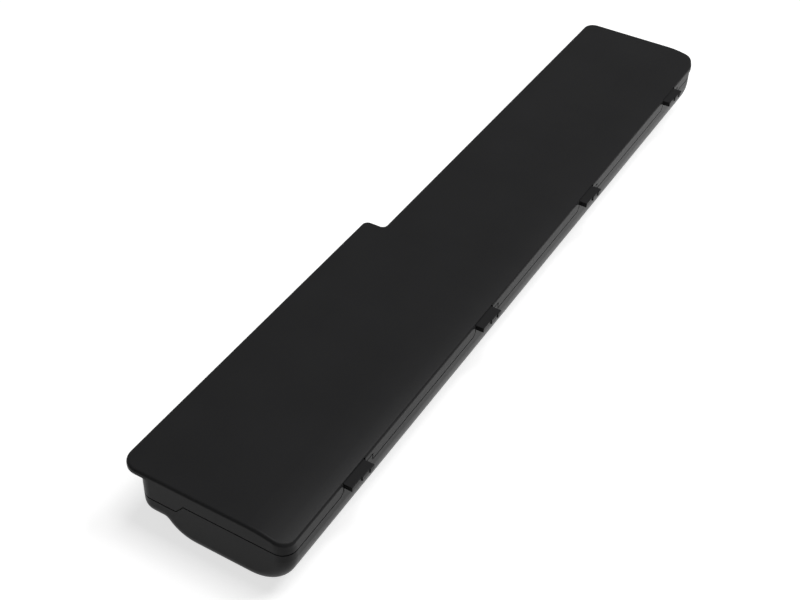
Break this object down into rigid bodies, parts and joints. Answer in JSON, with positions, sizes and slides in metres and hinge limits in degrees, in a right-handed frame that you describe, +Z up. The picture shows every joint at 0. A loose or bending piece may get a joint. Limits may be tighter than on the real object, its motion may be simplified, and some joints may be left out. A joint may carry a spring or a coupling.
{
  "type": "laptop battery",
  "caption": "Removable laptop battery pack: a long black plastic case with a stepped side, a crowned flat cover and hooks along one edge, holding cylindrical cells and a protection board.",
  "frame": {"origin": "middle of the pack's box, on the plane that the pack rests on", "axes": "+X along the pack to its narrow end, -Y towards the hooks, +Z up to the cover"},
  "size_m": [0.273, 0.055, 0.0211],
  "materials": {
    "case_plastic": "moulded black plastic with a fine spark texture",
    "cell_sleeve": "shrunk plastic sleeve over a plated steel can",
    "ring_paper": "pressed insulating paper",
    "nickel": "rolled nickel strip",
    "foam": "closed-cell foam",
    "circuit_board": "glass laminate with solder mask",
    "sheet_paper": "pressed insulating paper",
    "chip_resin": "moulded resin with tinned leads",
    "fuse_ceramic": "ceramic body with tinned end caps",
    "thermistor_resin": "dipped resin bead with tinned leads",
    "connector_plastic": "moulded black plastic",
    "contact_metal": "gold plated spring metal"
  },
  "bodies": {
    "root": {"top_cover": "case_plastic", "bottom_case": "case_plastic", "cell_1_hook_side": "cell_sleeve", "insulating_ring_1_hook_side": "ring_paper", "cell_1_board_side": "cell_sleeve", "insulating_ring_1_board_side": "ring_paper", "cell_2_hook_side": "cell_sleeve", "insulating_ring_2_hook_side": "ring_paper", "cell_2_board_side": "cell_sleeve", "insulating_ring_2_board_side": "ring_paper", "cell_3_hook_side": "cell_sleeve", "insulating_ring_3_hook_side": "ring_paper", "cell_3_board_side": "cell_sleeve", "insulating_ring_3_board_side": "ring_paper", "cell_4_hook_side": "cell_sleeve", "insulating_ring_4_hook_side": "ring_paper", "cell_4_board_side": "cell_sleeve", "insulating_ring_4_board_side": "ring_paper", "negative_end_strap": "nickel", "positive_end_strap": "nickel", "negative_strip": "nickel", "positive_strip": "nickel", "junction_strap_1": "nickel", "sense_strip_1": "nickel", "junction_strap_2": "nickel", "sense_strip_2": "nickel", "junction_strap_3": "nickel", "sense_strip_3": "nickel", "near_end_pad": "foam", "far_end_pad": "foam", "protection_board": "circuit_board", "board_insulator": "sheet_paper", "gauge_chip": "chip_resin", "protector_chip": "chip_resin", "charge_transistor": "chip_resin", "discharge_transistor": "chip_resin", "cutoff_fuse": "fuse_ceramic", "sense_resistor": "fuse_ceramic", "thermistor": "thermistor_resin", "connector_body": "connector_plastic", "connector_contact_1": "contact_metal", "connector_contact_2": "contact_metal", "connector_contact_3": "contact_metal", "connector_contact_4": "contact_metal", "connector_contact_5": "contact_metal", "connector_contact_6": "contact_metal", "connector_contact_7": "contact_metal", "connector_contact_8": "contact_metal"}
  },
  "joints": []
}
